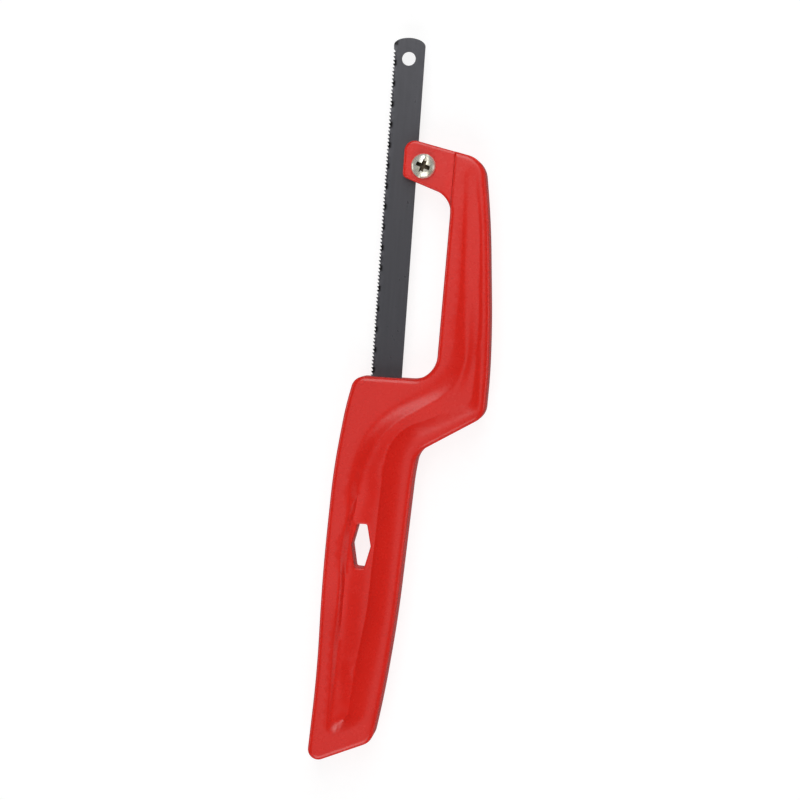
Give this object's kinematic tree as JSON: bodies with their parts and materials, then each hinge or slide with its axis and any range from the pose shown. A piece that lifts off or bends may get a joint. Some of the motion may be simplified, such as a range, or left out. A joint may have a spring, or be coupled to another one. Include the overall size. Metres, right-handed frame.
{
  "type": "mini hacksaw",
  "caption": "Compact hacksaw with a moulded plastic grip that runs up into a curved arm, a short slide-out blade held by a screw clamp in the arm's pad, and a hang hole.",
  "frame": {"origin": "middle of the underside of the bounding box, with the saw lying flat on its back half", "axes": "+Y along the blade towards its tip, +X from the teeth towards the arm, +Z through the thickness, out of the face that the clamping screw's head is on"},
  "size_m": [0.0586, 0.2772, 0.0162],
  "materials": {
    "red_plastic": "glossy moulded",
    "black_steel": "blackened, satin",
    "zinc_steel": "bright zinc plate"
  },
  "bodies": {
    "frame": {"frame_front_half": "red_plastic", "frame_back_half": "red_plastic", "case_screw_arm": "zinc_steel", "case_screw_elbow": "zinc_steel", "case_screw_butt": "zinc_steel"},
    "blade": {"saw_blade": "black_steel"},
    "clamp_screw": {"clamp_screw": "zinc_steel"},
    "clamp_nut": {"clamp_nut": "zinc_steel"}
  },
  "joints": [
    {"name": "blade_slide", "type": "slide", "parent": "frame", "child": "blade", "axis": [0, 1, 0], "range_m": [0, 0.033]},
    {"name": "clamp_screw_turn", "type": "hinge", "parent": "frame", "child": "clamp_screw", "pos_m": [-0.00098, 0.09034, 0.008], "axis": [0, 0, 1], "range_deg": [0, 720]},
    {"name": "clamp_nut_travel", "type": "slide", "parent": "frame", "child": "clamp_nut", "axis": [0, 0, -1], "range_m": [0, 0.00212]}
  ],
  "couplings": [
    {"joint": "clamp_screw_turn", "follows": "clamp_nut_travel", "rad_per_m": 5936.9}
  ]
}
